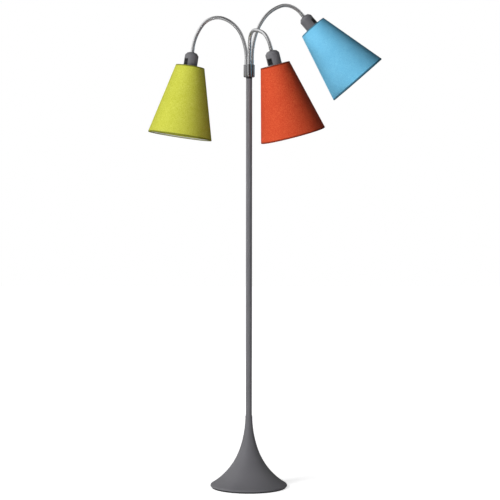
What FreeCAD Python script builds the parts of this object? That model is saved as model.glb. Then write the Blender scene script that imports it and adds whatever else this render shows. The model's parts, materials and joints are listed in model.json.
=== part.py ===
import FreeCAD, Part

import math
import os

from FreeCAD import Placement, Rotation, Vector

# Tree floor lamp: a spun trumpet foot, a slim pole, a three-sleeve holder and three gooseneck
# arms, each with a lampholder, a rocker switch and a conical fabric shade.
# Millimetres and degrees. Origin on the floor under the pole, +Z up, -Y is the front.

# ---- foot ----
FOOT_NECK_R = 11.0            # outside of the trumpet's neck, at its top edge
FOOT_WALL = 1.2
FOOT_UPPER_ARC_R = 315.0      # the flare is two tangent arcs and a rounded lip
FOOT_UPPER_TURN = 19.6
FOOT_LOWER_ARC_R = 205.3
FOOT_LOWER_TURN = 39.4
FOOT_LIP_R = 6.4
FOOT_LIP_CENTRE_Z = 5.6       # middle of the lip's rounding over the floor
FOOT_LIP_EDGE = 0.6           # straight edge under the rounding
RING_HEIGHT = 6.5             # base ring that the lamp stands on; it shows under the lip
RING_WIDTH = 10.0
RING_INSET = 4.0
PLATE_T = 1.5
PLATE_GAP = 0.3
WEIGHT_HEIGHT = 26.0          # cast ballast
WEIGHT_SHELL_GAP = 1.0
WEIGHT_TOP_CHAMFER = 2.0
POCKET_R = 18.0               # pocket in the ballast for the nut and the cable's bend
POCKET_DEPTH = 18.0
CHANNEL_GAP = 1.0             # round the bushing, in the ballast's channel for the cable

# ---- mains inlet ----
INLET_BORE_R = 3.2
INLET_BODY_R = 4.5
INLET_FLANGE_R = 6.2
INLET_FLANGE_T = 1.4
INLET_INSIDE = 20.0           # from the lip's radius inwards
INLET_OUTSIDE = 1.5

# ---- pole ----
POLE_R = 9.5
POLE_WALL = 1.2
POLE_TOP_Z = 1274.0
FIT_GAP = 0.1                 # small radial gap of parts that are screwed or pushed together
HAIR = 0.02                   # keeps two faces apart that would otherwise be one
PAST = 1.0                    # how far a cut runs past the face that it opens
STUD_R = 5.0                  # M10 threaded tube at both ends of the pole
STUD_BORE_R = 3.4
STUD_REACH = 16.0             # how far a threaded end stands out of the pole
PLUG_LENGTH = 24.0            # the part of the plug inside the pole
NUT_ACROSS_FLATS = 17.0
NUT_T = 6.0
WASHER_R = 13.0
WASHER_T = 1.6
CABLE_R = 2.6
CABLE_BEND_R = 7.0

# ---- collar and arm holder ----
COLLAR_R = 9.8
COLLAR_H = 5.3
HOLDER_H = 38.8
HUB_R = 7.5
SLEEVE_R = 8.5
SLEEVE_CIRCLE_R = 10.4        # the sleeves' axes lie on this circle
SLEEVE_BORE_R = 5.9
SLEEVE_FLOOR = 13.0
SLEEVE_ROUNDING = 3.5
HUB_BORE_DEPTH = 12.0         # bore for the pole's threaded end
WIRE_HOLE_R = 2.6             # from the hub's passage into each sleeve
WIRE_HOLE_OVER_FLOOR = 4.0    # its axis over the sleeve's floor

# ---- goosenecks ----
NECK_R = 5.5                  # crest of the winding
NECK_GROOVE_R = 4.8
NECK_BORE_R = 3.0
RIB_PITCH = 8.0
RIB_CREST = 0.45              # shares of a pitch: along the crest, down the flank, along the
RIB_FLANK = 0.15              # groove; the other flank climbs to the next crest
RIB_GROOVE = 0.25
BALL_R = 4.9                  # turn of the winding that seats in the next length
BALL_GAP = 0.12
CREST_START = 0.8             # from a station to the first crest beyond it
CREST_END = 3.2               # from the last crest to the next station
GROOVE_AT_BALL = 2.0          # from the ball's centre back to where its groove ends inside it
BALL_FOOT_INSET = 0.2
MOUTH_R = 3.4                 # wider mouth of the bore in the ball
MOUTH_DEPTH = 1.0             # from the ball's centre back to the bore
FERRULE_R = 5.8
FERRULE_ABOVE = 19.6          # ferrule that shows over the holder
FERRULE_IN_SLEEVE = 25.0
FERRULE_TAPER = 1.0           # length of a ferrule's taper down to the winding
TIP_LENGTH = 15.1             # straight end sleeve before the lampholder
FLEX_R = 2.4                  # cable inside a gooseneck
FLEX_OVER_FLOOR = 1.0         # where it starts in its sleeve

# One row per arm: heading of its sleeve round the pole, flexible length, heading of the first
# bend, the turn of each quarter of the length, the roll between quarters, and how far the
# switch is turned round the lampholder from the front.
ARMS = {
    "lime": dict(sleeve=150.0, length=304.0, heading=176.0, turns=(24.0, 45.7, 73.2, 28.6),
                 rolls=(0.0, 0.0, 0.0), switch=-48.0),
    "orange": dict(sleeve=270.0, length=223.0, heading=-83.2, turns=(30.2, 65.0, 20.2, 66.5),
                   rolls=(19.4, 5.1, 1.6), switch=-41.0),
    "blue": dict(sleeve=30.0, length=300.0, heading=44.6, turns=(22.7, 22.3, 26.6, 74.2),
                 rolls=(-6.5, -12.3, -9.7), switch=49.0),
}

# ---- lampholder, in its own frame: origin at the shade's top, +Z back along the neck ----
HOLDER_R = 21.5
HOLDER_WALL = 2.2
HOLDER_TOP = 42.5             # top face over the shade's top
TOP_BOSS_R = 10.0
TOP_BOSS_H = 1.4
SHOULDER_W = 7.0              # sloping shoulder of the cap, across and down
SHOULDER_H = 8.5
SHOULDER_SOFT = 2.2           # rounding of its two corners
CAP_SPLIT = 26.0              # where the cap meets the body
SPIGOT_H = 3.0                # spigot of the cap inside the body
SPIGOT_T = 1.2
SPIGOT_ROOT = 1.0             # height of the spigot's root over the split
SKIRT_R = 19.6                # threaded skirt that goes through the shade's washer
SKIRT_WALL = 1.8
SKIRT_LENGTH = 28.0
BODY_FLOOR = 2.0
NIPPLE_LENGTH = 9.0

# ---- rocker switch ----
WINDOW_W = 17.4
WINDOW_H = 20.0
WINDOW_FOOT = 2.6             # lower edge of the window over the shade's top
SWITCH_FRONT = 19.0           # switch face from the lampholder's axis
SWITCH_DEPTH = 10.0
SWITCH_GAP = 0.15
SWITCH_WALL = 2.3
ROCKER_PIVOT_BACK = 4.0       # pivot behind the switch face
ROCKER_PIN_R = 1.5
ROCKER_PIN_GAP = 0.06
ROCKER_PIN_REACH = 1.4
ROCKER_HUB_R = 2.8
ROCKER_TIP = 5.2              # front of the rocker's ends before the pivot
ROCKER_DIP = 4.0              # front of the rocker's middle before the pivot
ROCKER_SKIRT = 1.5
ROCKER_TRAVEL = 14.0
ROCKER_SIDE_GAP = 0.25
ROCKER_END_GAP = 0.9

# ---- socket, bulb ----
SHELL_R = 13.3                # inside of the thread shell
SHELL_T = 0.5
SHELL_LENGTH = 22.0
SOCKET_WALL = 3.4
SOCKET_TOP = -1.0
SOCKET_FLOOR = 2.5
CONTACT_R = 4.0
CONTACT_T = 1.2
BULB_CAP_R = 13.1
BULB_TIP_R = 4.5
BULB_R = 30.0
BULB_LENGTH = 104.0
BULB_NECK_R = 14.5
BULB_NECK_LENGTH = 6.0
BULB_GLASS = 1.0
SEAT_GAP = 0.2

# ---- shade ----
SHADE_TOP_R = 44.5
SHADE_BOTTOM_R = 100.0
SHADE_H = 220.0
SHADE_WALL = 1.2
HEM_H = 6.0
HEM_T = 0.4
WIRE_T = 2.4                  # wire of the rings, squared
WIRE_INSET = 3.0              # ring wires from the shade's edges
WASHER_OUT_R = 27.0
WASHER_HOLE_GAP = 0.4
FITTER_T = 1.5
SPOKES = 3
SPOKE_R = 1.1
RING_NUT_R = 24.5
RING_NUT_BODY_R = 22.4
RING_NUT_H = 8.0
RING_NUT_FLANGE_T = 2.5

FRONT = Vector(0, -1, 0)
UP = Vector(0, 0, 1)
PLUG_R = POLE_R - POLE_WALL - FIT_GAP
FOOT_LIP_Z = FOOT_LIP_CENTRE_Z - FOOT_LIP_EDGE
PLATE_Z = RING_HEIGHT
WEIGHT_Z = PLATE_Z + PLATE_T
INLET_Z = WEIGHT_Z + INLET_BODY_R + SEAT_GAP
POCKET_TOP_Z = WEIGHT_Z + POCKET_DEPTH
POLE_FOOT_Z = WEIGHT_Z + WEIGHT_HEIGHT
HOLDER_Z = POLE_TOP_Z + COLLAR_H
HOLDER_TOP_Z = HOLDER_Z + HOLDER_H
STATION_0_Z = HOLDER_TOP_Z + FERRULE_ABOVE
SOCKET_BORE_R = SHELL_R + SHELL_T + FIT_GAP
SOCKET_R = SKIRT_R - SKIRT_WALL - FIT_GAP
SHADE_SLOPE = math.atan2(SHADE_BOTTOM_R - SHADE_TOP_R, SHADE_H)


# ---- small helpers ----

def cylinder(radius, z0, z1, at=(0.0, 0.0)):
    return Part.makeCylinder(radius, z1 - z0, Vector(at[0], at[1], z0))


def tube(outer, inner, z0, z1, at=(0.0, 0.0)):
    return cylinder(outer, z0, z1, at).cut(cylinder(inner, z0 - PAST, z1 + PAST, at))


def box(x, y, z):
    """A box from its (low, high) pairs."""
    size = [pair[1] - pair[0] for pair in (x, y, z)]
    return Part.makeBox(*size, Vector(x[0], y[0], z[0]))


def line(a, b):
    return Part.LineSegment(Vector(a[0], 0, a[1]), Vector(b[0], 0, b[1])).toShape()


def arc(centre, radius, from_deg, to_deg):
    """An arc in the XZ plane, drawn from one angle to the other."""
    points = []
    for angle in (from_deg, (from_deg + to_deg) / 2, to_deg):
        a = math.radians(angle)
        points.append(Vector(centre[0] + radius * math.cos(a), 0, centre[1] + radius * math.sin(a)))
    return Part.Arc(*points).toShape()


def spun(edges):
    """Turns a closed outline in the XZ plane round Z."""
    face = Part.Face(Part.Wire(edges))
    return face.revolve(Vector(0, 0, 0), UP, 360)


def spun_points(points):
    return spun([line(a, b) for a, b in zip(points, points[1:] + points[:1])])


def ends(edge_list):
    """First and last corner of a chain of XZ edges, as (x, z)."""
    first = edge_list[0].valueAt(edge_list[0].FirstParameter)
    last = edge_list[-1].valueAt(edge_list[-1].LastParameter)
    return (first.x, first.z), (last.x, last.z)


def one_solid(shape):
    """The single solid of a boolean result."""
    if len(shape.Solids) != 1:
        raise ValueError(f"{len(shape.Solids)} solids where one was meant")
    return shape.Solids[0]


def save(name, *solids, frame=None):
    """Writes one node's solids, placed in the lamp's frame."""
    placed = []
    for solid in solids:
        copy = solid.copy()
        if frame is not None:
            copy.Placement = frame.multiply(copy.Placement)
        placed.append(copy)
    shape = placed[0] if len(placed) == 1 else Part.makeCompound(placed)
    shape.exportStep(f"parts/{name}.step")


# ---- foot ----

def trumpet_centres():
    """Centres of the flare's upper arc, its lower arc and the lip's rounding, as (radius, z)."""
    upper = math.radians(FOOT_UPPER_TURN)
    lower = upper + math.radians(FOOT_LOWER_TURN)
    upper_step = FOOT_UPPER_ARC_R - FOOT_LOWER_ARC_R
    lower_step = FOOT_LOWER_ARC_R + FOOT_LIP_R
    top_z = FOOT_LIP_CENTRE_Z + upper_step * math.sin(upper) + lower_step * math.sin(lower)
    c1 = (FOOT_NECK_R + FOOT_UPPER_ARC_R, top_z)
    c2 = (c1[0] - upper_step * math.cos(upper), c1[1] - upper_step * math.sin(upper))
    c3 = (c2[0] - lower_step * math.cos(lower), FOOT_LIP_CENTRE_Z)
    return c1, c2, c3


def trumpet_line(inset):
    """The trumpet's outline from neck to lip, set in from the outside."""
    c1, c2, c3 = trumpet_centres()
    turn = FOOT_UPPER_TURN + FOOT_LOWER_TURN
    return [
        arc(c1, FOOT_UPPER_ARC_R + inset, 180, 180 + FOOT_UPPER_TURN),
        arc(c2, FOOT_LOWER_ARC_R + inset, 180 + FOOT_UPPER_TURN, 180 + turn),
        arc(c3, FOOT_LIP_R - inset, turn, 0),
    ]


def lip_radius():
    return trumpet_centres()[2][0] + FOOT_LIP_R


def trumpet_layer(outside, inside):
    """The layer between two insets of the trumpet's outline, down to the lip's edge."""
    outer, inner = trumpet_line(outside), trumpet_line(inside)
    (top_out, low_out), (top_in, low_in) = ends(outer), ends(inner)
    edge_out, edge_in = (low_out[0], FOOT_LIP_Z), (low_in[0], FOOT_LIP_Z)
    rim = [line(low_out, edge_out), line(edge_out, edge_in), line(edge_in, low_in)]
    return spun(outer + rim + inner[::-1] + [line(top_in, top_out)])


def base_shell():
    hole = inlet_rod(INLET_BODY_R + FIT_GAP, 2 * INLET_INSIDE)
    return one_solid(trumpet_layer(0, FOOT_WALL).cut(hole))


def inlet_rod(radius, inside):
    """A rod on the inlet's axis, from inside the foot to the bushing's outer end."""
    start = lip_radius() - inside
    length = inside + INLET_OUTSIDE
    return Part.makeCylinder(radius, length, Vector(0, start, INLET_Z), Vector(0, 1, 0))


def shell_radius_at(z, inset):
    """Radius of the trumpet's outline at a height on its flare."""
    c1, c2, _ = trumpet_centres()
    if z > c1[1] - FOOT_UPPER_ARC_R * math.sin(math.radians(FOOT_UPPER_TURN)):
        centre, radius = c1, FOOT_UPPER_ARC_R + inset
    else:
        centre, radius = c2, FOOT_LOWER_ARC_R + inset
    return centre[0] - math.sqrt(radius ** 2 - (z - centre[1]) ** 2)


def foot_ring():
    outer = lip_radius() - RING_INSET
    return tube(outer, outer - RING_WIDTH, 0, RING_HEIGHT)


def base_plate():
    """Closing disc under the ballast, with a hole for a spanner on the nut."""
    lip = trumpet_centres()[2]
    inside_lip = math.sqrt((FOOT_LIP_R - FOOT_WALL) ** 2 - (WEIGHT_Z - lip[1]) ** 2)
    return tube(lip[0] + inside_lip - PLATE_GAP, POCKET_R, PLATE_Z, WEIGHT_Z)


def base_weight():
    inset = FOOT_WALL + WEIGHT_SHELL_GAP
    top_z = WEIGHT_Z + WEIGHT_HEIGHT
    top_r = shell_radius_at(top_z, inset)
    low_z = WEIGHT_Z + FOOT_LIP_R
    low_r = shell_radius_at(low_z + inset, inset)
    chamfer = WEIGHT_TOP_CHAMFER
    disc = spun_points([
        (0, WEIGHT_Z),
        (low_r, WEIGHT_Z),
        (low_r, low_z - chamfer),
        (top_r, top_z - chamfer),
        (top_r - chamfer, top_z),
        (0, top_z),
    ])
    disc = disc.cut(cylinder(POCKET_R, WEIGHT_Z - PAST, POCKET_TOP_Z))
    disc = disc.cut(cylinder(STUD_R + FIT_GAP, WEIGHT_Z, top_z + PAST))
    half = INLET_BODY_R + CHANNEL_GAP
    channel = box((-half, half), (0, low_r + PAST), (WEIGHT_Z - PAST, INLET_Z + half))
    return one_solid(disc.cut(channel))


def cord_bushing():
    """Moulded bushing for the mains cord, with a saddle flange on the back of the flare."""
    body = inlet_rod(INLET_BODY_R, INLET_INSIDE)
    skin = trumpet_layer(-FIT_GAP - INLET_FLANGE_T, -FIT_GAP)
    saddle = inlet_rod(INLET_FLANGE_R, 2 * INLET_INSIDE).common(skin)
    return one_solid(body.fuse(saddle).cut(inlet_rod(INLET_BORE_R, 2 * INLET_INSIDE)))


# ---- pole ----

def pole():
    return tube(POLE_R, POLE_R - POLE_WALL, POLE_FOOT_Z, POLE_TOP_Z)


def threaded_plug(end_z, outward):
    """Plug inside one end of the pole with an M10 threaded tube that stands out of it."""
    inside = sorted((end_z, end_z - outward * PLUG_LENGTH))
    whole = sorted((end_z + outward * STUD_REACH, end_z - outward * PLUG_LENGTH))
    plug = cylinder(PLUG_R, *inside).fuse(cylinder(STUD_R, *whole))
    return one_solid(plug.cut(cylinder(STUD_BORE_R, whole[0] - PAST, whole[1] + PAST)))


def pole_nut():
    """Hexagon nut and washer in the ballast's pocket."""
    washer_z = POCKET_TOP_Z - WASHER_T
    corner = NUT_ACROSS_FLATS / math.sqrt(3)
    angles = [math.radians(60 * i) for i in range(7)]
    low = washer_z - NUT_T
    ring = [Vector(corner * math.cos(a), corner * math.sin(a), low) for a in angles]
    hexagon = Part.Face(Part.makePolygon(ring)).extrude(Vector(0, 0, NUT_T))
    nut = one_solid(hexagon.cut(cylinder(STUD_R + FIT_GAP, low - PAST, washer_z + PAST)))
    washer = tube(WASHER_R, STUD_R + FIT_GAP, washer_z, POCKET_TOP_Z)
    return nut, washer


def pole_cable():
    """Mains cable from the inlet, through the ballast's channel and up the pole."""
    inner_end = lip_radius() - INLET_INSIDE
    run = Part.makeCylinder(CABLE_R, inner_end - CABLE_BEND_R, Vector(0, CABLE_BEND_R, INLET_Z),
                            Vector(0, 1, 0))
    section = Part.Face(Part.Wire([Part.makeCircle(CABLE_R, Vector(0, CABLE_BEND_R, INLET_Z),
                                                   Vector(0, 1, 0))]))
    pivot = Vector(0, CABLE_BEND_R, INLET_Z + CABLE_BEND_R)
    bend = section.revolve(pivot, Vector(-1, 0, 0), 90)
    rise = cylinder(CABLE_R, INLET_Z + CABLE_BEND_R, HOLDER_Z + STUD_REACH - COLLAR_H)
    return one_solid(run.fuse([bend, rise]).removeSplitter())


def pole_collar():
    return tube(COLLAR_R, STUD_R + FIT_GAP, POLE_TOP_Z, HOLDER_Z)


# ---- arm holder ----

def sleeve_axis(arm):
    a = math.radians(ARMS[arm]["sleeve"])
    return SLEEVE_CIRCLE_R * math.cos(a), SLEEVE_CIRCLE_R * math.sin(a)


def rounded_post(radius, z0, z1, rounding, at):
    post = cylinder(radius, z0, z1, at)
    low = [e for e in post.Edges if e.BoundBox.ZMax < z0 + 0.01]
    return post.makeFillet(rounding, low)


def arm_holder():
    """Three sleeves round a hub, with a blind bore each and wire holes to the hub."""
    holder = cylinder(HUB_R, HOLDER_Z, HOLDER_TOP_Z)
    for arm in ARMS:
        at = sleeve_axis(arm)
        holder = holder.fuse(rounded_post(SLEEVE_R, HOLDER_Z, HOLDER_TOP_Z, SLEEVE_ROUNDING, at))
    holder = holder.cut(cylinder(STUD_R + FIT_GAP, HOLDER_Z - PAST, HOLDER_Z + HUB_BORE_DEPTH))
    wire_z = HOLDER_Z + SLEEVE_FLOOR + WIRE_HOLE_OVER_FLOOR
    holder = holder.cut(cylinder(STUD_BORE_R, HOLDER_Z, wire_z + 2 * WIRE_HOLE_R))
    for arm in ARMS:
        at = sleeve_axis(arm)
        bore = cylinder(SLEEVE_BORE_R, HOLDER_Z + SLEEVE_FLOOR, HOLDER_TOP_Z + PAST, at)
        holder = holder.cut(bore)
        direction = Vector(at[0], at[1], 0)
        hole = Part.makeCylinder(WIRE_HOLE_R, SLEEVE_CIRCLE_R, Vector(0, 0, wire_z), direction)
        holder = holder.cut(hole)
    return one_solid(holder)


# ---- goosenecks ----

def turned(angle, axis):
    return Placement(Vector(0, 0, 0), Rotation(axis, angle))


def arc_step(length, turn):
    """Frame at the end of an arc that leaves along +Z and bends towards +X."""
    if turn == 0:
        return Placement(Vector(0, 0, length), Rotation())
    radius = length / math.radians(turn)
    a = math.radians(turn)
    end = Vector(radius * (1 - math.cos(a)), 0, radius * math.sin(a))
    return Placement(end, Rotation(Vector(0, 1, 0), turn))


def link_frames(arm):
    """Start frames of the four lengths, +Z along the neck and +X into the bend, and the end."""
    data = ARMS[arm]
    x, y = sleeve_axis(arm)
    frame = Placement(Vector(x, y, STATION_0_Z), Rotation(UP, data["heading"]))
    frames = []
    for i, turn in enumerate(data["turns"]):
        if i:
            frame = frame.multiply(turned(data["rolls"][i - 1], UP))
        frames.append(frame)
        frame = frame.multiply(arc_step(link_length(arm), turn))
    return frames, frame


def link_length(arm):
    return ARMS[arm]["length"] / len(ARMS[arm]["turns"])


def ring_at(length, turn, share, radius):
    """A circle square to the arc at a share of its length."""
    place = arc_step(length * share, turn * share)
    circle = Part.Circle(place.Base, place.Rotation.multVec(UP), radius)
    circle.XAxis = Vector(0, 1, 0)
    return Part.Wire([circle.toShape()])


def bent_rod(length, turn, radius):
    """A round rod along the arc."""
    face = Part.Face(ring_at(length, turn, 0, radius))
    if turn == 0:
        return face.extrude(Vector(0, 0, length))
    return face.revolve(Vector(length / math.radians(turn), 0, 0), Vector(0, 1, 0), turn)


def ball_foot_radius():
    """Radius where the last groove runs into its ball."""
    return math.sqrt(BALL_R ** 2 - GROOVE_AT_BALL ** 2) - BALL_FOOT_INSET


def neck_length(arm, index):
    """One length of gooseneck: a ribbed, bored tube with a cup at its start and a ball at its end."""
    length, turn = link_length(arm), ARMS[arm]["turns"][index]
    ribs = max(2, round((length - CREST_START - CREST_END) / RIB_PITCH))
    pitch = (length - CREST_START - CREST_END) / ribs
    stops = []
    for rib in range(ribs):
        at = CREST_START + pitch * rib
        stops.append((at, NECK_R))
        stops.append((at + pitch * RIB_CREST, NECK_R))
        stops.append((at + pitch * (RIB_CREST + RIB_FLANK), NECK_GROOVE_R))
        stops.append((at + pitch * (RIB_CREST + RIB_FLANK + RIB_GROOVE), NECK_GROOVE_R))
    stops.append((length - CREST_END, NECK_R))
    stops.append((length - GROOVE_AT_BALL, ball_foot_radius()))
    rings = [ring_at(length, turn, at / length, radius) for at, radius in stops]
    body = Part.makeLoft(rings, True, True)
    end = arc_step(length, turn)
    ball = Part.makeSphere(BALL_R)
    ball.Placement = end
    body = body.fuse(ball)
    body = body.cut(Part.makeSphere(BALL_R + BALL_GAP, Vector(0, 0, 0)))
    body = body.cut(bent_rod(length, turn, NECK_BORE_R))
    mouth = cylinder(MOUTH_R, -MOUTH_DEPTH, 2 * BALL_R)
    mouth.Placement = end
    return one_solid(body.cut(mouth))


def root_ferrule():
    """Sleeve at the foot of a gooseneck, origin at its ball."""
    crest = -CREST_END
    body = spun_points([
        (NECK_BORE_R, -FERRULE_ABOVE - FERRULE_IN_SLEEVE),
        (FERRULE_R, -FERRULE_ABOVE - FERRULE_IN_SLEEVE),
        (FERRULE_R, crest - FERRULE_TAPER),
        (NECK_R, crest),
        (ball_foot_radius(), -GROOVE_AT_BALL),
        (NECK_BORE_R, -GROOVE_AT_BALL),
    ])
    ball = Part.makeSphere(BALL_R).cut(cylinder(NECK_BORE_R, -2 * BALL_R, 2 * BALL_R))
    return one_solid(body.fuse(ball).removeSplitter())


def tip_ferrule():
    """Straight sleeve and nipple between a gooseneck and its lampholder, in the holder's frame."""
    top = HOLDER_TOP + TOP_BOSS_H
    station = top + TIP_LENGTH
    body = spun_points([
        (NECK_BORE_R, top - NIPPLE_LENGTH),
        (STUD_R, top - NIPPLE_LENGTH),
        (STUD_R, top + FIT_GAP),
        (FERRULE_R, top + FIT_GAP),
        (FERRULE_R, station - CREST_START - FERRULE_TAPER),
        (NECK_R, station - CREST_START),
        (NECK_BORE_R, station - CREST_START),
    ])
    return one_solid(body.cut(Part.makeSphere(BALL_R + BALL_GAP, Vector(0, 0, station))))


def flex(arm):
    """Cable through one gooseneck, from its sleeve to its lampholder."""
    frames, end = link_frames(arm)
    length, turns = link_length(arm), ARMS[arm]["turns"]
    x, y = sleeve_axis(arm)
    low = HOLDER_Z + SLEEVE_FLOOR + FLEX_OVER_FLOOR
    shape = cylinder(FLEX_R, low, STATION_0_Z, (x, y))
    runs = []
    for frame, turn in zip(frames, turns):
        rod = bent_rod(length, turn, FLEX_R)
        rod.Placement = frame
        runs.append(rod)
    last = cylinder(FLEX_R, 0, TIP_LENGTH + NIPPLE_LENGTH)
    last.Placement = end
    return one_solid(shape.fuse(runs + [last]))


# ---- lampholder ----

def holder_frame(arm):
    """Frame of an arm's lampholder: +Z back along the neck, +X out through the switch."""
    end = link_frames(arm)[1]
    along = end.Rotation.multVec(UP)
    reach = TIP_LENGTH + HOLDER_TOP + TOP_BOSS_H
    origin = end.Base + along * reach
    back = along * -1
    front = FRONT - back * FRONT.dot(back)
    front.normalize()
    side = back.cross(front) * -1
    a = math.radians(ARMS[arm]["switch"])
    out = front * math.cos(a) - side * math.sin(a)
    return Placement(origin, Rotation(out, back.cross(out), back, "ZXY"))


def cap():
    """Cap of the lampholder: sloping shoulder, boss for the nipple and spigot into the body."""
    lean = math.atan2(SHOULDER_W, SHOULDER_H)
    low_out = (HOLDER_R, HOLDER_TOP - SHOULDER_H)
    high_out = (HOLDER_R - SHOULDER_W, HOLDER_TOP)
    inner = HOLDER_R - HOLDER_WALL
    under = HOLDER_TOP - HOLDER_WALL
    low_in = (inner, low_out[1] - HOLDER_WALL * math.tan(lean / 2))
    high_in = (high_out[0] - HOLDER_WALL * math.tan((math.pi / 2 - lean) / 2), under)
    spigot_r = inner - FIT_GAP
    hole = STUD_R + FIT_GAP
    whole = spun_points([
        low_out,
        high_out,
        (TOP_BOSS_R, HOLDER_TOP),
        (TOP_BOSS_R, HOLDER_TOP + TOP_BOSS_H),
        (hole, HOLDER_TOP + TOP_BOSS_H),
        (hole, under),
        high_in,
        low_in,
        (inner, CAP_SPLIT + SPIGOT_ROOT),
        (spigot_r - SPIGOT_T, CAP_SPLIT + SPIGOT_ROOT),
        (spigot_r - SPIGOT_T, CAP_SPLIT - SPIGOT_H),
        (spigot_r, CAP_SPLIT - SPIGOT_H),
        (spigot_r, CAP_SPLIT),
        (HOLDER_R, CAP_SPLIT),
    ])
    corners = [edge for edge in whole.Edges if is_ring(edge, low_out) or is_ring(edge, high_out)]
    return whole.makeFillet(SHOULDER_SOFT, corners)


def is_ring(edge, corner):
    """True for the round edge that a corner of a turned outline draws."""
    at = edge.valueAt(edge.FirstParameter)
    end = edge.valueAt(edge.LastParameter)
    level = abs(at.z - corner[1]) < HAIR and abs(end.z - corner[1]) < HAIR
    return level and abs(math.hypot(at.x, at.y) - corner[0]) < HAIR and isinstance(edge.Curve, Part.Circle)


def body():
    """Body of the lampholder: window for the switch and threaded skirt for the shade ring."""
    inner = HOLDER_R - HOLDER_WALL
    skirt_in = SKIRT_R - SKIRT_WALL
    shell = spun_points([
        (skirt_in, -SKIRT_LENGTH),
        (SKIRT_R, -SKIRT_LENGTH),
        (SKIRT_R, 0),
        (HOLDER_R, 0),
        (HOLDER_R, CAP_SPLIT),
        (inner, CAP_SPLIT),
        (inner, BODY_FLOOR),
        (skirt_in, BODY_FLOOR),
    ])
    half = WINDOW_W / 2
    window = box((0, HOLDER_R + PAST), (-half, half), (WINDOW_FOOT, WINDOW_FOOT + WINDOW_H))
    return one_solid(shell.cut(window))


def switch_box():
    """Switch housing in the window, open at its face, with pivot holes for the rocker."""
    half_w = WINDOW_W / 2 - SWITCH_GAP
    low, high = WINDOW_FOOT + SWITCH_GAP, WINDOW_FOOT + WINDOW_H - SWITCH_GAP
    back = SWITCH_FRONT - SWITCH_DEPTH
    housing = box((back, SWITCH_FRONT), (-half_w, half_w), (low, high))
    wall = SWITCH_WALL
    cavity = box((back + wall, SWITCH_FRONT + PAST), (wall - half_w, half_w - wall),
                 (low + wall, high - wall))
    pin_half = rocker_half_width() + ROCKER_PIN_REACH + ROCKER_SIDE_GAP
    x, z = rocker_pivot()
    holes = Part.makeCylinder(ROCKER_PIN_R + ROCKER_PIN_GAP, 2 * pin_half, Vector(x, -pin_half, z),
                              Vector(0, 1, 0))
    return one_solid(housing.cut(cavity).cut(holes))


def rocker_pivot():
    return SWITCH_FRONT - ROCKER_PIVOT_BACK, WINDOW_FOOT + WINDOW_H / 2


def rocker_half_width():
    return WINDOW_W / 2 - SWITCH_GAP - SWITCH_WALL - ROCKER_SIDE_GAP


def rocker():
    """Rocker on two pins, at rest pressed in at its upper end."""
    x, z = rocker_pivot()
    half_h = WINDOW_H / 2 - SWITCH_GAP - SWITCH_WALL - ROCKER_END_GAP
    half_w = rocker_half_width()
    outline = [
        (ROCKER_SKIRT, -half_h), (ROCKER_TIP, -half_h), (ROCKER_DIP, 0),
        (ROCKER_TIP, half_h), (ROCKER_SKIRT, half_h), (-ROCKER_SKIRT, 0),
    ]
    corners = [Vector(dx, -half_w, dz) for dx, dz in outline]
    plate = Part.Face(Part.makePolygon(corners + corners[:1])).extrude(Vector(0, 2 * half_w, 0))
    hub = Part.makeCylinder(ROCKER_HUB_R, 2 * half_w, Vector(0, -half_w, 0), Vector(0, 1, 0))
    pin_half = half_w + ROCKER_PIN_REACH
    pins = Part.makeCylinder(ROCKER_PIN_R, 2 * pin_half, Vector(0, -pin_half, 0), Vector(0, 1, 0))
    shape = one_solid(plate.fuse([hub, pins]))
    shape.Placement = Placement(Vector(x, 0, z), Rotation(Vector(0, 1, 0), -ROCKER_TRAVEL / 2))
    return shape


def socket():
    """Insulating insert that holds the thread shell."""
    foot = -SKIRT_LENGTH
    cup = tube(SOCKET_R, SOCKET_BORE_R, foot, SOCKET_TOP - SOCKET_FLOOR)
    floor = cylinder(SOCKET_R, SOCKET_TOP - SOCKET_FLOOR, SOCKET_TOP)
    return one_solid(cup.fuse(floor).removeSplitter())


def contacts():
    """Thread shell and centre contact."""
    top = SOCKET_TOP - SOCKET_FLOOR - FIT_GAP
    shell = tube(SHELL_R + SHELL_T, SHELL_R, top - SHELL_LENGTH, top)
    centre = cylinder(CONTACT_R, top - CONTACT_T, top)
    return shell, centre


def bulb():
    """Lamp bulb: filled metal cap, short neck and a hollow round envelope."""
    top = SOCKET_TOP - SOCKET_FLOOR - FIT_GAP - CONTACT_T - SEAT_GAP
    cap_foot = -SKIRT_LENGTH - SEAT_GAP
    neck_foot = cap_foot - BULB_NECK_LENGTH
    centre = top - BULB_LENGTH + BULB_R
    reach = math.hypot(BULB_NECK_R, neck_foot - centre)
    lean = math.atan2(neck_foot - centre, BULB_NECK_R)
    touch = lean - math.acos(BULB_R / reach)

    def touch_point(inset):
        radius = BULB_R - inset
        return radius * math.cos(touch), centre + radius * math.sin(touch)

    inner_neck = BULB_NECK_R - BULB_GLASS
    cap_shoulder = top - BULB_CAP_R / 3
    edges = [
        line((0, top), (BULB_TIP_R, top)),
        line((BULB_TIP_R, top), (BULB_CAP_R, cap_shoulder)),
        line((BULB_CAP_R, cap_shoulder), (BULB_CAP_R, cap_foot)),
        line((BULB_CAP_R, cap_foot), (BULB_NECK_R, neck_foot)),
        line((BULB_NECK_R, neck_foot), touch_point(0)),
        arc((0, centre), BULB_R, math.degrees(touch), -90),
        line((0, centre - BULB_R), (0, centre - BULB_R + BULB_GLASS)),
        arc((0, centre), BULB_R - BULB_GLASS, -90, math.degrees(touch)),
        line(touch_point(BULB_GLASS), (inner_neck, neck_foot)),
        line((inner_neck, neck_foot), (BULB_CAP_R - BULB_GLASS, cap_foot)),
        line((BULB_CAP_R - BULB_GLASS, cap_foot), (0, cap_foot)),
        line((0, cap_foot), (0, top)),
    ]
    return spun(edges)


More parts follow.
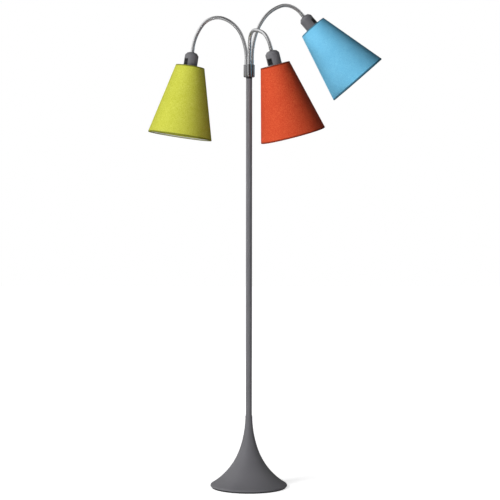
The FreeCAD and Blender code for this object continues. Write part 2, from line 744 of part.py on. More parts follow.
def shade_ring():
    """Threaded ring that clamps the shade's washer under the lampholder."""
    top = -FITTER_T - 2 * HAIR
    bore = SKIRT_R + FIT_GAP
    return spun_points([
        (bore, top), (RING_NUT_R, top), (RING_NUT_R, top - RING_NUT_FLANGE_T),
        (RING_NUT_BODY_R, top - RING_NUT_FLANGE_T), (RING_NUT_BODY_R, top - RING_NUT_H),
        (bore, top - RING_NUT_H),
    ])


# ---- shade ----

def shade_radius(z, inset=0.0):
    """Radius of the shade's cone at a height in the lampholder's frame."""
    share = -z / SHADE_H
    radius = SHADE_TOP_R + (SHADE_BOTTOM_R - SHADE_TOP_R) * share
    return radius - inset / math.cos(SHADE_SLOPE)


def shade():
    """Laminated fabric cone, open at both ends, with a turned hem at each edge."""
    low, hem = -SHADE_H, HEM_H
    return spun_points([
        (shade_radius(0, SHADE_WALL), 0),
        (shade_radius(0, -HEM_T), 0),
        (shade_radius(-hem, -HEM_T), -hem),
        (shade_radius(-hem), -hem),
        (shade_radius(low + hem), low + hem),
        (shade_radius(low + hem, -HEM_T), low + hem),
        (shade_radius(low, -HEM_T), low),
        (shade_radius(low, SHADE_WALL), low),
    ])


def wire_ring(z):
    """Ring inside the shade, its outer side on the shade's slope, with its middle at z."""
    low, high = z - WIRE_T / 2, z + WIRE_T / 2
    inset = SHADE_WALL + HAIR
    return spun_points([
        (shade_radius(low, inset + WIRE_T), low),
        (shade_radius(low, inset), low),
        (shade_radius(high, inset), high),
        (shade_radius(high, inset + WIRE_T), high),
    ])


def shade_frame():
    """Wire rings of the shade, and the washer on spokes that hangs it on the lampholder."""
    hole = SKIRT_R + WASHER_HOLE_GAP
    washer = tube(WASHER_OUT_R, hole, -FITTER_T, 0)
    top = wire_ring(-WIRE_INSET)
    reach = shade_radius(-WIRE_INSET, SHADE_WALL + WIRE_T / 2)
    carrier = washer.fuse(top)
    for i in range(SPOKES):
        a = math.radians(360 / SPOKES * i + 60)
        out = Vector(math.cos(a), math.sin(a), 0)
        start = out * (WASHER_OUT_R - SPOKE_R) + Vector(0, 0, -FITTER_T / 2)
        end = out * reach + Vector(0, 0, -WIRE_INSET)
        spoke = Part.makeCylinder(SPOKE_R, (end - start).Length, start, end - start)
        carrier = carrier.fuse(spoke)
    return one_solid(carrier), wire_ring(WIRE_INSET - SHADE_H)


# ---- all nodes ----

def save_root():
    save("base_shell", base_shell())
    save("base_weight", base_weight())
    save("base_plate", base_plate())
    save("foot_ring", foot_ring())
    save("cord_bushing", cord_bushing())
    save("pole", pole())
    save("pole_plugs", threaded_plug(POLE_FOOT_Z, -1), threaded_plug(POLE_TOP_Z, 1))
    save("pole_nut", *pole_nut())
    save("pole_cable", pole_cable())
    save("pole_collar", pole_collar())
    save("arm_holder", arm_holder())
    save("neck_flexes", *[flex(arm) for arm in ARMS])


def save_arm(arm):
    x, y = sleeve_axis(arm)
    save(f"{arm}_root_ferrule", root_ferrule(),
         frame=Placement(Vector(x, y, STATION_0_Z), Rotation()))
    for index, frame in enumerate(link_frames(arm)[0]):
        save(f"{arm}_neck_{index + 1}", neck_length(arm, index), frame=frame)
    place = holder_frame(arm)
    save(f"{arm}_tip_ferrule", tip_ferrule(), frame=place)
    save(f"{arm}_holder_cap", cap(), frame=place)
    save(f"{arm}_holder_body", body(), frame=place)
    save(f"{arm}_switch_box", switch_box(), frame=place)
    save(f"{arm}_switch_rocker", rocker(), frame=place)
    save(f"{arm}_socket", socket(), frame=place)
    save(f"{arm}_contacts", *contacts(), frame=place)
    save(f"{arm}_shade_ring", shade_ring(), frame=place)
    save(f"{arm}_shade_frame", *shade_frame(), frame=place)
    save(f"{arm}_shade", shade(), frame=place)
    save(f"{arm}_bulb", bulb(), frame=place)


def main():
    os.makedirs("parts", exist_ok=True)
    save_root()
    for arm in ARMS:
        save_arm(arm)


if __name__ == "__main__":
    main()
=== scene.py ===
# The looks of the tree floor lamp, in metres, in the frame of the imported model: origin on the
# floor under the pole, +Z up, -Y towards the viewer.
import json
import math

import bmesh
import bpy
from mathutils import Matrix, Vector


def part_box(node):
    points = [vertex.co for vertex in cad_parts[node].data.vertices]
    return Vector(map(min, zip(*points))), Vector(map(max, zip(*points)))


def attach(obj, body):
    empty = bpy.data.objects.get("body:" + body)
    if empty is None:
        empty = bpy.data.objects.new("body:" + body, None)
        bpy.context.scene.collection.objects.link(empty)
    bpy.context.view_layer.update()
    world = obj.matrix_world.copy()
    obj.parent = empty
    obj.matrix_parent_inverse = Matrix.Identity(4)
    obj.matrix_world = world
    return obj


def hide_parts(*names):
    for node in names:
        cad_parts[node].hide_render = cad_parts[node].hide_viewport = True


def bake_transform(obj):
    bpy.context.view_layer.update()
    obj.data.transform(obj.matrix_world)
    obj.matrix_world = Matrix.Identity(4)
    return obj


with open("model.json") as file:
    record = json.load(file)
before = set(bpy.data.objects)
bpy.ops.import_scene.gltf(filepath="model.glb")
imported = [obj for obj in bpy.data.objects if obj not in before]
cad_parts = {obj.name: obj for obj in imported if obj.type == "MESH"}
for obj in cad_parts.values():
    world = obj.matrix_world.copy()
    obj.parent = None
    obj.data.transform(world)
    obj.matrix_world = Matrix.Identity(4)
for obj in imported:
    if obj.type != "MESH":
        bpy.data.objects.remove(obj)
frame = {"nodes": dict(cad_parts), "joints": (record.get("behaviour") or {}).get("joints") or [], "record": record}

for start_object in ("Cube", "Light", "Camera"):
    if start_object in bpy.data.objects:
        bpy.data.objects.remove(bpy.data.objects[start_object])
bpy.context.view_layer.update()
NODES = frame["nodes"]
ARMS = ("lime", "orange", "blue")

# ---- camera ----
CAMERA_DISTANCE = 4.5
CAMERA_HEIGHT = 0.8278
CAMERA_PITCH = 0.01918          # radians, downwards
CAMERA_ROLL = 0.0009
FOCAL_PX = 1442.7
CENTRE_PX = 248.99              # where the view's axis crosses the picture
PICTURE_PX = 500
SENSOR_MM = 36
VIEW_REACH = 60

# ---- goosenecks ----
NECK_R = 0.0055
RIB_PITCH = 0.0028
RIB_DEPTH = 0.00026
RIB_FULLNESS = 0.6              # under 1 gives a rounded crest and a tight groove
RINGS_PER_RIB = 6
NECK_SIDES = 28
NECK_START = -0.0036            # the hose starts this far below its first joint
NECK_END = 0.0014               # and ends this far past its last one
BEND_REACH = 0.016              # a reach to both sides of each joint, worked out in make_neck but not used

# ---- shade, in the head's frame: origin at the shade's top, +Z up the neck ----
HEAD_REACH = 0.0590             # from the last joint to the shade's top
SHADE_TOP_R = 0.0445
SHADE_BOTTOM_R = 0.100
SHADE_H = 0.220
SHADE_SIDES = 144
SHADE_ROWS = 40
CLOTH_T = 0.0005
HEM_ROLL_R = 0.0013
HEM_STEPS = 7                   # of the half turn round a rolled edge
HEM_TURN = 0.009                # how far the cloth is turned in at both edges
HEM_LEAN = 0.0002               # the turned-in end comes this much nearer to the outer cloth
LINER_GAP = 0.0001
LINER_T = 0.0004
SEAM_LAP = 0.012
LAP_SIDES = 2
LAP_LIFT = CLOTH_T * 1.1
LAP_RISE = 0.02                 # radians in which the lap climbs onto the cloth below it
CREASE_ANGLE = math.radians(35)

SLOPE = math.atan2(SHADE_BOTTOM_R - SHADE_TOP_R, SHADE_H)
APEX = SHADE_TOP_R / math.tan(SLOPE)        # the cone's tip over the shade's top
SLANT = SHADE_H / math.cos(SLOPE)           # length of the shade's side

# ---- cloth: noises by their scale per metre, and their weights in the colour's tone ----
THREAD = 0.0011
THREAD_WEIGHT = 0.05
WOBBLE = THREAD * 0.5
WOBBLE_SCALE = 70.0
SLUB_ALONG, SLUB_ACROSS = 90, 900
SLUB_WEIGHT = 0.30
CLOUD_SCALE = 26.0
CLOUD_WEIGHT = 0.10
SPECK_SCALE = 330.0
SPECK_WEIGHT = 0.42
TONE_DEEP, TONE_MID, TONE_LIGHT = 0.44, 0.56, 0.68
PAINTED_EDGE_SHADE_WIDTH = 0.0038              # width of the painted shade along both rolled edges, where the cloth's colour is darkened for the hem's shade
EDGE_SOFT = 0.2                 # share of that width in which it fades, to both sides
# colour level of the cloth within that painted edge shade
PAINTED_EDGE_SHADE_LEVEL = 0.38

# ---- noise: how far it mostly gets from a half ----
NOISE_REACH = 0.2
GRAIN_REACH = 0.3

# ---- light ----
ROOM_LIGHT = 0.085
ROOM_BANDS = ((0.0, 1.0), (0.2, 0.85), (0.40, 0.22), (0.5, 0.06), (0.62, 0.07), (0.78, 0.34),
              (0.88, 0.46), (1.0, 0.20))    # what metal reflects, from -X to +X
ROOM_LOW, ROOM_HIGH = 0.45, 1.25            # and how that changes from below to above,
ROOM_FADE = 0.6                             # up to this steepness
SOFTBOXES = {                               # place, aim, size and power in watts
    "high": ((-2.8, -2.4, 2.5), (0, 0, 0.9), (1.2, 1.0), 116),
    "low": ((-0.8, -3.3, 0.15), (0.2, 0, 1.3), (1.0, 0.5), 53),
    "back": ((0.1, 3.9, 2.1), (0, 0, 1.0), (1.8, 1.8), 24),
}
WHITE = (1, 1, 1, 1)
FLOOR_REACH = 14
FLOOR_TONE = 0.82
FLOOR_ROUGH = 0.9
FLOOR_GLOW = 0.72
FLOOR_FADE = (0.3, 2.5)         # the floor turns white between these distances from the lamp


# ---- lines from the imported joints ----

JOINT_AT = {joint["name"]: Vector(joint["pos_m"]) for joint in frame["joints"]}


def stations(arm):
    """The arm's five bending points, from its foot to its head."""
    names = sorted(name for name in JOINT_AT if name.startswith(f"{arm}_bend_"))
    return [JOINT_AT[name] for name in names]


class Arc:
    """A circular arc from one point to another that leaves along a given direction."""

    def __init__(self, start, direction, end):
        self.start, self.direction = start, direction
        chord = end - start
        along = chord.normalized()
        half = math.acos(max(-1.0, min(1.0, along.dot(direction))))
        self.inward = (along - direction * along.dot(direction)).normalized()
        self.radius = chord.length / (2 * math.sin(half))
        self.length = self.radius * 2 * half

    def at(self, distance):
        """Point and direction at a distance along the arc."""
        angle = distance / self.radius
        point = (self.start + self.direction * self.radius * math.sin(angle)
                 + self.inward * self.radius * (1 - math.cos(angle)))
        direction = self.direction * math.cos(angle) + self.inward * math.sin(angle)
        return point, direction


class Neck:
    """An arm's centreline: arcs through its bending points, straight beyond both ends."""

    def __init__(self, arm):
        points = stations(arm)
        direction = Vector((0, 0, 1))
        self.arcs = []
        self.joints = [0.0]
        for start, end in zip(points, points[1:]):
            arc = Arc(start, direction, end)
            self.arcs.append(arc)
            self.joints.append(self.joints[-1] + arc.length)
            direction = arc.at(arc.length)[1]
        self.end, self.end_direction = points[-1], direction

    def at(self, distance):
        """Point and direction at a distance from the first joint."""
        if distance < 0:
            foot = self.arcs[0]
            return foot.start + foot.direction * distance, foot.direction
        for arc, start in zip(self.arcs, self.joints):
            if distance <= start + arc.length:
                return arc.at(distance - start)
        return self.end + self.end_direction * (distance - self.joints[-1]), self.end_direction


def centre_of(name):
    low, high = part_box(name)
    return (low + high) / 2


def head_matrix(arm, neck):
    """The head's frame: +Z back up the neck, +X out through the switch."""
    origin = neck.end + neck.end_direction * HEAD_REACH
    up = -neck.end_direction
    switch = centre_of(f"{arm}_switch_box") - origin
    out = (switch - up * switch.dot(up)).normalized()
    side = up.cross(out)
    return Matrix((
        (out.x, side.x, up.x, origin.x),
        (out.y, side.y, up.y, origin.y),
        (out.z, side.z, up.z, origin.z),
        (0, 0, 0, 1),
    ))


# ---- shader nodes ----

def new_material(name):
    material = bpy.data.materials.new(name)
    material.use_nodes = True
    tree = material.node_tree
    return material, tree, tree.nodes["Principled BSDF"]


def node(tree, kind, **values):
    """A shader node; keyword names are its attributes, or its inputs where they start with in_."""
    made = tree.nodes.new(kind)
    for key, value in values.items():
        if key.startswith("in_"):
            made.inputs[key[3:].replace("_", " ")].default_value = value
        else:
            setattr(made, key, value)
    return made


def noise(tree, coords, scale, detail=3.0, roughness=0.5):
    made = node(tree, "ShaderNodeTexNoise", in_Scale=scale, in_Detail=detail,
                in_Roughness=roughness)
    tree.links.new(coords, made.inputs["Vector"])
    return made.outputs["Fac"]


def stretch(tree, coords, scale):
    made = node(tree, "ShaderNodeMapping", in_Scale=scale)
    tree.links.new(coords, made.inputs["Vector"])
    return made.outputs["Vector"]


def ramp(tree, value, low, high, low_value, high_value):
    """Maps a value from one range to another, within it."""
    made = node(tree, "ShaderNodeMapRange", in_From_Min=low, in_From_Max=high,
                in_To_Min=low_value, in_To_Max=high_value)
    tree.links.new(value, made.inputs["Value"])
    return made.outputs["Result"]


def from_noise(tree, value, low_value, high_value, reach=NOISE_REACH):
    """Maps a noise to a range."""
    return ramp(tree, value, 0.5 - reach, 0.5 + reach, low_value, high_value)


def maths(tree, operation, a, b=0):
    made = node(tree, "ShaderNodeMath", operation=operation)
    for socket, value in zip(made.inputs, (a, b)):
        if isinstance(value, (int, float)):
            socket.default_value = value
        else:
            tree.links.new(value, socket)
    return made.outputs["Value"]


def weighted(tree, *pairs):
    """The sum of values, each times its weight."""
    parts = [maths(tree, "MULTIPLY", value, weight) for value, weight in pairs]
    total = parts[0]
    for part in parts[1:]:
        total = maths(tree, "ADD", total, part)
    return total


def distance_from_origin(tree, coords):
    made = node(tree, "ShaderNodeVectorMath", operation="LENGTH")
    tree.links.new(coords, made.inputs[0])
    return made.outputs["Value"]


def split(tree, coords):
    made = node(tree, "ShaderNodeSeparateXYZ")
    tree.links.new(coords, made.inputs["Vector"])
    return made.outputs


def mixed(tree, share, a, b):
    """From one colour to another by a share."""
    made = node(tree, "ShaderNodeMix", data_type="RGBA", in_A=(*a, 1), in_B=(*b, 1))
    tree.links.new(share, made.inputs[0])
    return made.outputs["Result"]


def graded(tree, value, stops):
    """The colour at a value, between stops of a place and a colour."""
    made = node(tree, "ShaderNodeValToRGB")
    elements = made.color_ramp.elements
    for element, (place, colour) in zip(elements, (stops[0], stops[-1])):
        element.position, element.color = place, (*colour, 1)
    for place, colour in stops[1:-1]:
        elements.new(place).color = (*colour, 1)
    tree.links.new(value, made.inputs["Fac"])
    return made.outputs["Color"]


def mixed_shaders(tree, share, a, b):
    made = node(tree, "ShaderNodeMixShader")
    for socket, source in zip(made.inputs, (share, a, b)):
        tree.links.new(source, socket)
    return made.outputs["Shader"]


def bump(tree, shader, height, strength, distance):
    made = node(tree, "ShaderNodeBump", in_Strength=strength, in_Distance=distance)
    tree.links.new(height, made.inputs["Height"])
    tree.links.new(made.outputs["Normal"], shader.inputs["Normal"])


def object_coords(tree):
    return node(tree, "ShaderNodeTexCoord").outputs["Object"]


def finish(tree, shader, colour, rough=None):
    """Links a material's colour, and its roughness where that varies."""
    tree.links.new(colour, shader.inputs["Base Color"])
    if rough is not None:
        tree.links.new(rough, shader.inputs["Roughness"])


# ---- materials ----

def painted(name, light, dark):
    """Fine powder coat: a slightly uneven satin with a faint orange peel."""
    material, tree, shader = new_material(name)
    coords = object_coords(tree)
    cloudy = noise(tree, coords, 9.0)
    peel = noise(tree, coords, 900.0, 2.0)
    finish(tree, shader, mixed(tree, from_noise(tree, cloudy, 0, 1), dark, light),
           from_noise(tree, peel, 0.42, 0.55, GRAIN_REACH))
    bump(tree, shader, peel, 0.25, 0.0002)
    return material


def polished(name, colour, rough):
    """Bright plated metal with faint handling marks."""
    material, tree, shader = new_material(name)
    marks = noise(tree, stretch(tree, object_coords(tree), (40, 40, 260)), 3.0, 4.0, 0.6)
    shader.inputs["Metallic"].default_value = 1.0
    bright = tuple(min(1.0, c * 1.08) for c in colour)
    finish(tree, shader, mixed(tree, marks, colour, bright),
           from_noise(tree, marks, rough * 0.8, rough * 1.3))
    return material


def moulded(name, colour, rough, gloss=0.5):
    """Moulded plastic or rubber with a fine grain."""
    material, tree, shader = new_material(name)
    shader.inputs["Specular IOR Level"].default_value = gloss
    coords = object_coords(tree)
    grain = noise(tree, coords, 1400.0, 2.0)
    worn = tuple(min(1.0, c * 1.5 + 0.004) for c in colour)
    finish(tree, shader, mixed(tree, noise(tree, coords, 60.0), colour, worn),
           from_noise(tree, grain, rough * 0.85, rough * 1.15, GRAIN_REACH))
    bump(tree, shader, grain, 0.2, 0.0001)
    return material


def cast(name, colour):
    """Rough cast iron."""
    material, tree, shader = new_material(name)
    lumps = noise(tree, object_coords(tree), 260.0, 5.0, 0.65)
    shader.inputs["Metallic"].default_value = 0.6
    pale = tuple(c * 1.9 for c in colour)
    finish(tree, shader, mixed(tree, lumps, colour, pale), from_noise(tree, lumps, 0.6, 0.85))
    bump(tree, shader, lumps, 0.6, 0.0008)
    return material


def frosted(name):
    """Opal glass of a bulb."""
    material, tree, shader = new_material(name)
    cloudy = noise(tree, object_coords(tree), 30.0)
    finish(tree, shader, mixed(tree, cloudy, (0.86, 0.85, 0.82), (0.92, 0.91, 0.88)))
    shader.inputs["Roughness"].default_value = 0.35
    shader.inputs["Subsurface Weight"].default_value = 0.3
    shader.inputs["Subsurface Radius"].default_value = (0.01, 0.01, 0.01)
    return material


def laminate(name):
    """Smooth white laminate inside the shades."""
    material, tree, shader = new_material(name)
    coords = object_coords(tree)
    tint = mixed(tree, noise(tree, coords, 40.0), (0.80, 0.79, 0.75), (0.86, 0.85, 0.82))
    finish(tree, shader, tint, from_noise(tree, noise(tree, coords, 300.0), 0.45, 0.6))
    return material


def woven(name, light, mid, deep):
    """Plain weave of slubby thread, in the cloth's own flat coordinates in metres."""
    material, tree, shader = new_material(name)
    flat = node(tree, "ShaderNodeUVMap", uv_map="flat").outputs["UV"]
    wobble = maths(tree, "MULTIPLY", noise(tree, flat, WOBBLE_SCALE, 2.0), WOBBLE)
    waves = []
    for axis in ("X", "Y"):
        place = maths(tree, "ADD", split(tree, flat)[axis], wobble)
        phase = maths(tree, "MULTIPLY", place, 2 * math.pi / THREAD)
        waves.append(maths(tree, "SINE", phase))
    threads = maths(tree, "MULTIPLY", *waves)
    slubs = maths(tree, "ADD", *(
        noise(tree, stretch(tree, flat, scale), 1.0, 2.0, 0.6)
        for scale in ((SLUB_ACROSS, SLUB_ALONG, 1), (SLUB_ALONG, SLUB_ACROSS, 1))))
    cloud = noise(tree, flat, CLOUD_SCALE, 4.0, 0.6)
    specks = noise(tree, flat, SPECK_SCALE, 3.0, 0.75)
    tone = weighted(tree, (slubs, SLUB_WEIGHT), (cloud, CLOUD_WEIGHT), (threads, THREAD_WEIGHT),
                    (specks, SPECK_WEIGHT))
    colour = graded(tree, tone, ((TONE_DEEP, deep), (TONE_MID, mid), (TONE_LIGHT, light)))

    # painted shade: the colour is darkened within a few millimetres of both rolled edges, standing in for the
    # shade of the hem
    slant = maths(tree, "SUBTRACT", distance_from_origin(tree, flat), APEX / math.cos(SLOPE))
    from_edge = maths(tree, "MINIMUM", slant, maths(tree, "SUBTRACT", SLANT, slant))
    level = ramp(tree, from_edge, PAINTED_EDGE_SHADE_WIDTH * (1 - EDGE_SOFT), PAINTED_EDGE_SHADE_WIDTH * (1 + EDGE_SOFT),
                 PAINTED_EDGE_SHADE_LEVEL, 1.0)
    painted_edge_shade = node(tree, "ShaderNodeVectorMath", operation="SCALE")
    tree.links.new(colour, painted_edge_shade.inputs[0])
    tree.links.new(level, painted_edge_shade.inputs["Scale"])
    finish(tree, shader, painted_edge_shade.outputs["Vector"])
    shader.inputs["Roughness"].default_value = 0.85
    shader.inputs["Specular IOR Level"].default_value = 0.15
    bump(tree, shader, weighted(tree, (threads, 0.5), (slubs, 0.6)), 0.25, 0.0002)
    return material


MATERIALS = {
    "lamp_grey": painted("lamp_grey", (0.158, 0.156, 0.168), (0.136, 0.134, 0.145)),
    "white_wire": painted("white_wire", (0.78, 0.78, 0.76), (0.70, 0.70, 0.68)),
    "ballast_iron": cast("ballast_iron", (0.05, 0.05, 0.05)),
    "zinc_plate": polished("zinc_plate", (0.50, 0.50, 0.52), 0.35),
    "chrome": polished("chrome", (0.68, 0.68, 0.69), 0.26),
    # a darker copy of the chrome: painted dark reflection for the arm holder
    "painted_dark_holder_chrome": polished("painted_dark_holder_chrome", (0.34, 0.34, 0.35), 0.14),
    "brass_contact": polished("brass_contact", (0.72, 0.52, 0.22), 0.3),
    "black_rubber": moulded("black_rubber", (0.030, 0.030, 0.032), 0.8),
    "black_plastic": moulded("black_plastic", (0.012, 0.012, 0.013), 0.45),
    "switch_black": moulded("switch_black", (0.005, 0.005, 0.006), 0.3, 0.15),
    "socket_black": moulded("socket_black", (0.02, 0.018, 0.016), 0.6),
    "cable_sheath": moulded("cable_sheath", (0.02, 0.02, 0.02), 0.5),
    "frosted_glass": frosted("frosted_glass"),
    "shade_liner": laminate("shade_liner"),
    "lime_fabric": woven("lime_fabric", (0.64, 0.655, 0.125), (0.53, 0.545, 0.066),
                         (0.42, 0.435, 0.028)),
    "orange_fabric": woven("orange_fabric", (0.66, 0.118, 0.045), (0.56, 0.072, 0.027),
                           (0.47, 0.038, 0.015)),
    "blue_fabric": woven("blue_fabric", (0.25, 0.66, 0.90), (0.18, 0.55, 0.82),
                         (0.12, 0.45, 0.72)),
}


def dress_cad():
    """Gives each CAD node the material of its slot, and the arm holder a darker copy of the chrome, a painted dark
    reflection.
    """
    slots = {part["node"]: part["material_slot"] for part in frame["record"]["subparts"]}
    for name, piece in NODES.items():
        piece.data.materials.clear()
        piece.data.materials.append(MATERIALS[slots[name]])
    NODES["arm_holder"].data.materials[0] = MATERIALS["painted_dark_holder_chrome"]


# ---- mesh helpers ----

def new_piece(name, mesh_data, material, smooth=True):
    piece = bpy.data.objects.new(name, mesh_data)
    bpy.context.scene.collection.objects.link(piece)
    mesh_data.materials.append(material)
    for face in mesh_data.polygons:
        face.use_smooth = smooth
    return piece


def grid_mesh(name, rows, closed_across, closed_along=False):
    """Faces between rows of points; rows may close on themselves across and along."""
    mesh = bpy.data.meshes.new(name)
    count = len(rows[0])
    faces = []
    for i in range(len(rows) if closed_along else len(rows) - 1):
        here, after = i * count, (i + 1) % len(rows) * count
        for j in range(count if closed_across else count - 1):
            k = (j + 1) % count
            faces.append((here + j, here + k, after + k, after + j))
    mesh.from_pydata([point for row in rows for point in row], [], faces)
    return mesh


def cap_ends(mesh, sides):
    """Closes both ends of a tube made by grid_mesh."""
    work = bmesh.new()
    work.from_mesh(mesh)
    work.verts.ensure_lookup_table()
    work.faces.new(reversed(work.verts[:sides]))
    work.faces.new(work.verts[-sides:])
    bmesh.ops.recalc_face_normals(work, faces=work.faces)
    work.to_mesh(mesh)
    work.free()


def apply_modifiers(piece):
    bpy.context.view_layer.update()
    graph = bpy.context.evaluated_depsgraph_get()
    mesh = bpy.data.meshes.new_from_object(piece.evaluated_get(graph))
    piece.modifiers.clear()
    piece.data = mesh


def mark_sharp(piece):
    """Keeps an edge crisp where its faces meet at more than the crease angle."""
    work = bmesh.new()
    work.from_mesh(piece.data)
    bmesh.ops.recalc_face_normals(work, faces=work.faces)
    for edge in work.edges:
        edge.smooth = len(edge.link_faces) == 2 and edge.calc_face_angle() < CREASE_ANGLE
    work.to_mesh(piece.data)
    work.free()


# ---- goosenecks ----

def rib_height(turns):
    """Height of the winding, 0 to 1, at a place counted in turns."""
    share = turns - math.floor(turns)
    return math.sin(math.pi * share) ** RIB_FULLNESS


def carried_frames(neck, distances):
    """Point and two side directions at each distance, turned as little as possible on the way."""
    side = Vector((1, 0, 0))
    frames = []
    for distance in distances:
        point, direction = neck.at(distance)
        side = (side - direction * side.dot(direction)).normalized()
        frames.append((point, side, direction.cross(side)))
    return frames


def neck_ring(place, distance):
    point, side, other = place
    ring = []
    for i in range(NECK_SIDES):
        angle = 2 * math.pi * i / NECK_SIDES
        height = rib_height(distance / RIB_PITCH - i / NECK_SIDES)
        radius = NECK_R - RIB_DEPTH * (1 - height)
        ring.append(point + (side * math.cos(angle) + other * math.sin(angle)) * radius)
    return ring


def make_neck(arm, neck):
    """A wound hose in five pieces, each of which spans one joint."""
    total = neck.joints[-1]
    step = RIB_PITCH / RINGS_PER_RIB
    count = math.ceil((total + NECK_END - NECK_START) / step)
    distances = [NECK_START + i * step for i in range(count + 1)]
    frames = carried_frames(neck, distances)
    middles = [(a + b) / 2 for a, b in zip(neck.joints, neck.joints[1:])]
    cuts = middles + [distances[-1]]
    first = 0
    for i, joint in enumerate(neck.joints):
        last = next(k for k, distance in enumerate(distances) if distance >= cuts[i])
        rows = [neck_ring(frames[k], distances[k]) for k in range(first, last + 1)]
        name = f"{arm}_gooseneck_{i + 1}"
        mesh = grid_mesh(name, rows, True)
        cap_ends(mesh, NECK_SIDES)
        piece = new_piece(name, mesh, MATERIALS["chrome"])
        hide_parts(f"{arm}_neck_{i + 1}" if i < len(middles) else "neck_flexes")
        low = max(joint - BEND_REACH, NECK_START)
        high = min(joint + BEND_REACH, total + NECK_END)
        neck.at(low)[0]
        neck.at(high)[0]
        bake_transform(piece)
        first = last


# ---- shades ----

def cone_point(angle, slant, outward):
    """A point of the shade's cone, by its distance down the slope and out of the surface."""
    radius = SHADE_TOP_R + slant * math.sin(SLOPE) + outward * math.cos(SLOPE)
    z = -slant * math.cos(SLOPE) + outward * math.sin(SLOPE)
    return Vector((radius * math.cos(angle), radius * math.sin(angle), z))


def flat_point(angle, slant):
    """The same place on the cloth laid flat, where its threads run straight."""
    reach = APEX / math.cos(SLOPE) + slant
    fan = angle * math.sin(SLOPE)
    return reach * math.sin(fan), -reach * math.cos(fan)


def hem_arc(slant, way):
    """Round the rolled edge: (slant, outward) pairs from the outer face to the turned-in one."""
    angles = [math.pi * i / HEM_STEPS for i in range(HEM_STEPS + 1)]
    return [(slant + way * HEM_ROLL_R * math.sin(angle), -HEM_ROLL_R * (1 - math.cos(angle)))
            for angle in angles]


def cloth_outline():
    """(slant, outward) pairs from the turned-in end at the top, over the outer face, to the
    turned-in end at the bottom."""
    start, end = HEM_ROLL_R, SLANT - HEM_ROLL_R
    inner = -2 * HEM_ROLL_R + HEM_LEAN
    top_turn = [(HEM_TURN, inner)] + hem_arc(start, -1)[::-1]
    low_turn = hem_arc(end, 1) + [(SLANT - HEM_TURN, inner)]
    middle = [(start + (end - start) * i / SHADE_ROWS, 0.0) for i in range(1, SHADE_ROWS)]
    return top_turn + middle + low_turn


def make_cloth(arm, matrix, seam):
    """Cloth cone with both edges rolled over their wires and a lapped seam."""
    name = f"{arm}_shade_cloth"
    sides = SHADE_SIDES + LAP_SIDES
    whole = 2 * math.pi + SEAM_LAP / SHADE_BOTTOM_R
    rows, spots = [], []
    for slant, outward in cloth_outline():
        row = []
        for i in range(sides + 1):
            around = whole * i / sides
            climbed = (around - 2 * math.pi + LAP_RISE) / LAP_RISE
            lift = LAP_LIFT * min(1.0, max(0.0, climbed))
            row.append(cone_point(seam + around, slant, outward + lift))
            spots.append(flat_point(around - math.pi, slant))
        rows.append(row)
    mesh = grid_mesh(name, rows, False)
    layer = mesh.uv_layers.new(name="flat")
    for loop in mesh.loops:
        layer.data[loop.index].uv = spots[loop.vertex_index]
    mesh.transform(matrix)
    piece = new_piece(name, mesh, MATERIALS[f"{arm}_fabric"])
    thick = piece.modifiers.new("thick", "SOLIDIFY")
    thick.thickness = CLOTH_T
    thick.offset = -1
    apply_modifiers(piece)
    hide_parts(f"{arm}_shade")
    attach(piece, f"{arm}_head")


def make_liner(arm, matrix):
    """Thin white laminate behind the cloth."""
    start, end = HEM_ROLL_R * 2, SLANT - HEM_ROLL_R * 2
    outer = -CLOTH_T - LINER_GAP
    inner = outer - LINER_T
    rows = [[cone_point(2 * math.pi * i / SHADE_SIDES, slant, outward)
             for i in range(SHADE_SIDES)]
            for slant, outward in ((start, outer), (end, outer), (end, inner), (start, inner))]
    name = f"{arm}_shade_liner"
    mesh = grid_mesh(name, rows, True, True)
    mesh.transform(matrix)
    piece = new_piece(name, mesh, MATERIALS["shade_liner"])
    mark_sharp(piece)
    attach(piece, f"{arm}_head")


# ---- stage, lights, camera ----

def make_floor():
    """Pale floor that keeps the lamp's shadow and fades into the white room."""
    mesh = bpy.data.meshes.new("floor")
    corners = [(x * FLOOR_REACH, y * FLOOR_REACH, 0)
               for x, y in ((-1, -1), (1, -1), (1, 1), (-1, 1))]
    mesh.from_pydata(corners, [], [(0, 1, 2, 3)])
    material, tree, shader = new_material("floor")
    shader.inputs["Base Color"].default_value = (FLOOR_TONE, FLOOR_TONE, FLOOR_TONE, 1)
    shader.inputs["Roughness"].default_value = FLOOR_ROUGH
    glow = node(tree, "ShaderNodeEmission", in_Color=WHITE)
    from_lamp = distance_from_origin(tree, object_coords(tree))
    tree.links.new(ramp(tree, from_lamp, *FLOOR_FADE, FLOOR_GLOW, 1.0), glow.inputs["Strength"])
    both = node(tree, "ShaderNodeAddShader")
    tree.links.new(shader.outputs["BSDF"], both.inputs[0])
    tree.links.new(glow.outputs["Emission"], both.inputs[1])
    path = node(tree, "ShaderNodeLightPath")
    seen = mixed_shaders(tree, path.outputs["Is Camera Ray"], shader.outputs["BSDF"],
                         both.outputs["Shader"])
    tree.links.new(seen, tree.nodes["Material Output"].inputs["Surface"])
    new_piece("floor", mesh, material, smooth=False)


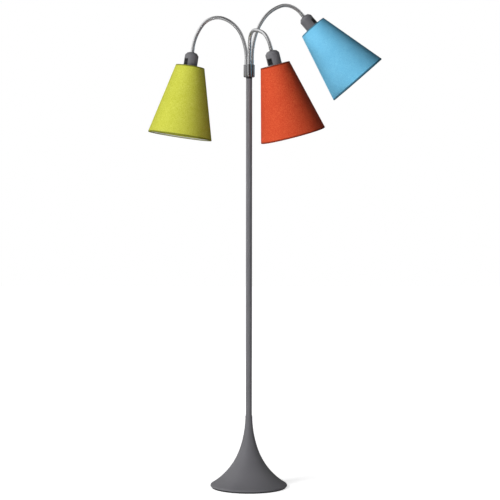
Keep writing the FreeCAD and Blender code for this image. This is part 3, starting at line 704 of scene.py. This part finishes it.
def make_world():
    """White for the camera and dim for matt surfaces. The metal's reflections have a bright left,
    a fair right, a dark middle, and are darker towards the floor."""
    world = bpy.data.worlds.new("room")
    bpy.context.scene.world = world
    world.use_nodes = True
    tree = world.node_tree
    room = tree.nodes["Background"]
    room.inputs["Color"].default_value = WHITE
    room.inputs["Strength"].default_value = ROOM_LIGHT
    white = node(tree, "ShaderNodeBackground", in_Color=WHITE)
    mirrored = node(tree, "ShaderNodeBackground", in_Color=WHITE)
    way = split(tree, node(tree, "ShaderNodeTexCoord").outputs["Generated"])
    bands = graded(tree, ramp(tree, way["X"], -1.0, 1.0, 0.0, 1.0),
                   [(place, (level, level, level)) for place, level in ROOM_BANDS])
    upward = ramp(tree, way["Z"], -ROOM_FADE, ROOM_FADE, ROOM_LOW, ROOM_HIGH)
    tree.links.new(maths(tree, "MULTIPLY", bands, upward), mirrored.inputs["Strength"])
    path = node(tree, "ShaderNodeLightPath")
    lit = mixed_shaders(tree, path.outputs["Is Glossy Ray"], room.outputs["Background"],
                        mirrored.outputs["Background"])
    seen = mixed_shaders(tree, path.outputs["Is Camera Ray"], lit, white.outputs["Background"])
    tree.links.new(seen, tree.nodes["World Output"].inputs["Surface"])


def make_lights():
    """A high and a low softbox at the front left and a weak one behind. The metal reflects the
    room instead of them."""
    for name, (place, aim, size, power) in SOFTBOXES.items():
        data = bpy.data.lights.new(name, "AREA")
        data.shape = "RECTANGLE"
        data.size, data.size_y = size
        data.energy = power
        lamp = bpy.data.objects.new(name, data)
        bpy.context.scene.collection.objects.link(lamp)
        lamp.location = place
        towards = Vector(aim) - Vector(place)
        lamp.rotation_euler = towards.to_track_quat("-Z", "Y").to_euler()
        lamp.visible_glossy = False


def make_camera():
    data = bpy.data.cameras.new("camera")
    data.sensor_width = SENSOR_MM
    data.lens = FOCAL_PX * SENSOR_MM / PICTURE_PX
    data.shift_x = (PICTURE_PX / 2 - CENTRE_PX) / PICTURE_PX
    data.clip_end = VIEW_REACH
    camera = bpy.data.objects.new("camera", data)
    bpy.context.scene.collection.objects.link(camera)
    tilt = Matrix.Rotation(math.pi / 2 - CAMERA_PITCH, 4, "X")
    place = Matrix.Translation((0, -CAMERA_DISTANCE, CAMERA_HEIGHT))
    camera.matrix_world = place @ tilt @ Matrix.Rotation(CAMERA_ROLL, 4, "Z")
    bpy.context.scene.camera = camera


# ---- all pieces ----

dress_cad()
for arm in ARMS:
    neck = Neck(arm)
    make_neck(arm, neck)
    head = head_matrix(arm, neck)
    back = head.to_3x3().inverted() @ Vector((0, 1, 0))
    make_cloth(arm, head, math.atan2(back.y, back.x))       # with its seam at the lamp's back
    make_liner(arm, head)

make_floor()
make_world()
make_lights()
make_camera()
bpy.context.scene.view_settings.view_transform = "Standard"
